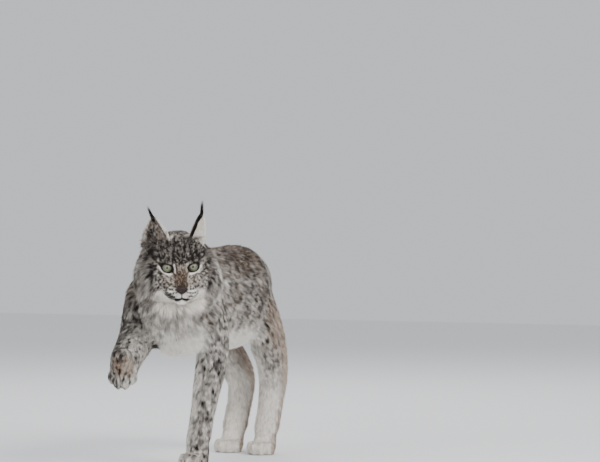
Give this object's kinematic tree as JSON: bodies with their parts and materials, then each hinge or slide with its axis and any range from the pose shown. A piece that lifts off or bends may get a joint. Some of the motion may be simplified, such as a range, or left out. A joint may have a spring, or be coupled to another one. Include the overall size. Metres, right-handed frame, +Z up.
{
  "type": "eurasian lynx",
  "caption": "Life-size still model of a Eurasian lynx in mid-stride, one forepaw raised, with tufted ears, cheek ruff and short tail.",
  "frame": {"origin": "on the floor, under the middle of the bounding box", "axes": "the animal faces -Y, its left side is towards +X, +Z is up"},
  "size_m": [0.2732, 0.8968, 0.6881],
  "materials": {
    "coat": "matte",
    "nose_leather": "satin",
    "eye": "gloss"
  },
  "bodies": {
    "root": {"head": "coat", "ear_left": "coat", "ear_right": "coat", "eye_left": "eye", "eye_right": "eye", "nose": "nose_leather", "neck": "coat", "torso": "coat", "tail": "coat", "upper_foreleg_left": "coat", "lower_foreleg_left": "coat", "forepaw_left": "coat", "upper_foreleg_right": "coat", "lower_foreleg_right": "coat", "forepaw_right": "coat", "thigh_left": "coat", "shank_left": "coat", "hindpaw_left": "coat", "thigh_right": "coat", "shank_right": "coat", "hindpaw_right": "coat"}
  },
  "joints": []
}
